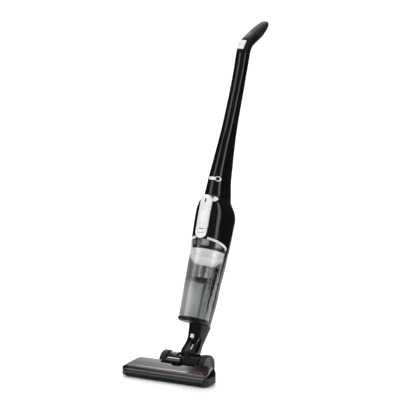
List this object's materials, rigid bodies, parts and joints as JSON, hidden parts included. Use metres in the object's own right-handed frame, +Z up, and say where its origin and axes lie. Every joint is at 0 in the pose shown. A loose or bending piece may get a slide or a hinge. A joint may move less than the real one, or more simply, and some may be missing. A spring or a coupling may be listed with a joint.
{
  "type": "cordless stick vacuum",
  "caption": "Upright cordless stick vacuum with a wheeled floor head, tilting and swivelling neck, clear dust container, motor pod, long shaft and bent soft grip.",
  "frame": {"origin": "on the floor, at the centre of the footprint of the object as it stands leaning back in use", "axes": "+Z up, front of the floor head towards -Y, the grip leans back towards +Y, +X to the user's left as seen from the front"},
  "size_m": [0.306, 0.6256, 1.0826],
  "materials": {
    "satin_black_plastic": "satin moulded black, roughness about 0.45",
    "gloss_black_plastic": "piano-black gloss moulding, roughness about 0.12",
    "smoked_clear_plastic": "smoked transparent moulding, glossy",
    "red_trim": "bright red, glossy",
    "bristle_roller": "nylon bristle rows on a black core",
    "steel": "turned and pressed steel",
    "rubber_black": "matt black rubber",
    "soft_tread": "soft matt tread",
    "soft_grip": "soft-touch charcoal with fine ribs",
    "white_plastic": "white moulding",
    "clear_polycarbonate": "clear polished moulding",
    "silver_paint": "fine metallic silver lacquer",
    "filter_foam": "open-cell filter foam and pleated paper",
    "green_board": "green shrink wrap and circuit board"
  },
  "bodies": {
    "floor_head": {"head_base": "satin_black_plastic", "sole_plate": "satin_black_plastic", "head_window": "smoked_clear_plastic", "head_deck": "gloss_black_plastic", "accent_strip": "red_trim", "end_cap_left": "gloss_black_plastic", "end_cap_right": "gloss_black_plastic", "roller_bearing": "steel", "drive_belt": "rubber_black", "brush_motor": "steel", "drum_left": "gloss_black_plastic", "drum_right": "gloss_black_plastic", "wheel_axle": "steel"},
    "brush": {"brush_roller": "bristle_roller", "roller_pulley": "satin_black_plastic"},
    "motor_drive": {"motor_pulley": "steel"},
    "wheel_left_body": {"wheel_left": "satin_black_plastic", "tyre_left": "soft_tread"},
    "wheel_right_body": {"wheel_right": "satin_black_plastic", "tyre_right": "soft_tread"},
    "caster_left_body": {"caster_left": "rubber_black"},
    "caster_right_body": {"caster_right": "rubber_black"},
    "lock_slider": {"roller_lock": "red_trim"},
    "yoke": {"pivot_yoke": "satin_black_plastic"},
    "stick": {"neck_collar": "satin_black_plastic", "neck_front": "gloss_black_plastic", "neck_rear": "satin_black_plastic", "neck_duct": "rubber_black", "back_shell": "gloss_black_plastic", "pod_front": "gloss_black_plastic", "pod_rear": "gloss_black_plastic", "exhaust_grille": "satin_black_plastic", "exhaust_filter": "filter_foam", "handle_panel": "silver_paint", "charging_socket": "satin_black_plastic", "fan_housing": "satin_black_plastic", "suction_motor": "steel", "battery_pack": "green_board", "circuit_board": "green_board", "shaft_front": "gloss_black_plastic", "shaft_rear": "gloss_black_plastic", "wiring_harness": "rubber_black", "handle_core": "gloss_black_plastic", "grip_sleeve": "soft_grip"},
    "neck_button_body": {"neck_button": "white_plastic"},
    "container": {"container_shell": "clear_polycarbonate", "filter_ring": "silver_paint", "cyclone_cone": "silver_paint", "mesh_shroud": "steel", "vortex_skirt": "satin_black_plastic", "filter_frame": "satin_black_plastic", "foam_filter": "filter_foam", "flap_pin": "steel"},
    "release_body": {"release_button": "silver_paint"},
    "flap": {"bottom_flap": "gloss_black_plastic", "flap_gasket": "rubber_black"},
    "latch": {"flap_latch": "satin_black_plastic"},
    "fan": {"fan_impeller": "white_plastic"},
    "slider": {"power_slider": "silver_paint"}
  },
  "joints": [
    {"name": "wheel_left_spin", "type": "hinge", "parent": "floor_head", "child": "wheel_left_body", "pos_m": [-0.056, -0.20075, 0.037], "axis": [1, 0, 0], "continuous": true},
    {"name": "wheel_right_spin", "type": "hinge", "parent": "floor_head", "child": "wheel_right_body", "pos_m": [0.088, -0.20075, 0.037], "axis": [1, 0, 0], "continuous": true},
    {"name": "caster_left_spin", "type": "hinge", "parent": "floor_head", "child": "caster_left_body", "pos_m": [-0.06, -0.25645, 0.006], "axis": [1, 0, 0], "continuous": true},
    {"name": "caster_right_spin", "type": "hinge", "parent": "floor_head", "child": "caster_right_body", "pos_m": [0.06, -0.25645, 0.006], "axis": [1, 0, 0], "continuous": true},
    {"name": "brush_spin", "type": "hinge", "parent": "floor_head", "child": "brush", "pos_m": [0, -0.28475, 0.017], "axis": [1, 0, 0], "continuous": true},
    {"name": "motor_pulley_spin", "type": "hinge", "parent": "floor_head", "child": "motor_drive", "pos_m": [-0.1315, -0.25525, 0.027], "axis": [1, 0, 0], "continuous": true},
    {"name": "roller_lock_slide", "type": "slide", "parent": "floor_head", "child": "lock_slider", "axis": [1, 0, 0], "range_m": [0, 0.008]},
    {"name": "neck_tilt", "type": "hinge", "parent": "floor_head", "child": "yoke", "pos_m": [0.016, -0.20075, 0.037], "axis": [1, 0, 0], "range_deg": [-48, 21.5]},
    {"name": "neck_swivel", "type": "hinge", "parent": "yoke", "child": "stick", "pos_m": [0.016, -0.20075, 0.037], "axis": [0, 0.3665, 0.9304], "range_deg": [-60, 60]},
    {"name": "neck_button_press", "type": "slide", "parent": "stick", "child": "neck_button_body", "axis": [0, 0.9304, -0.3665], "range_m": [0, 0.002], "stiffness_N_per_m": 400, "springref_m": -0.002},
    {"name": "container_removal", "type": "slide", "parent": "stick", "child": "container", "axis": [0, -0.8137, 0.5812], "range_m": [0, 0.15]},
    {"name": "release_button_press", "type": "slide", "parent": "container", "child": "release_body", "axis": [0, 0.9304, -0.3665], "range_m": [0, 0.0018], "stiffness_N_per_m": 400, "springref_m": -0.002},
    {"name": "flap_open", "type": "hinge", "parent": "container", "child": "flap", "pos_m": [0.016, -0.11774, 0.15715], "axis": [1, 0, 0], "range_deg": [0, 75]},
    {"name": "flap_latch_press", "type": "slide", "parent": "flap", "child": "latch", "axis": [0, 0.9304, -0.3665], "range_m": [0, 0.0018], "stiffness_N_per_m": 400, "springref_m": -0.002},
    {"name": "fan_spin", "type": "hinge", "parent": "stick", "child": "fan", "pos_m": [0.016, -0.04032, 0.42136], "axis": [0, 0.3665, 0.9304], "continuous": true},
    {"name": "power_slide", "type": "slide", "parent": "stick", "child": "slider", "axis": [0, 0.714, 0.7001], "range_m": [0, 0.008]}
  ],
  "couplings": [
    {"joint": "motor_pulley_spin", "follows": "brush_spin", "ratio": 2},
    {"joint": "flap_open", "follows": "container_removal", "rad_per_m": 8.7266}
  ]
}
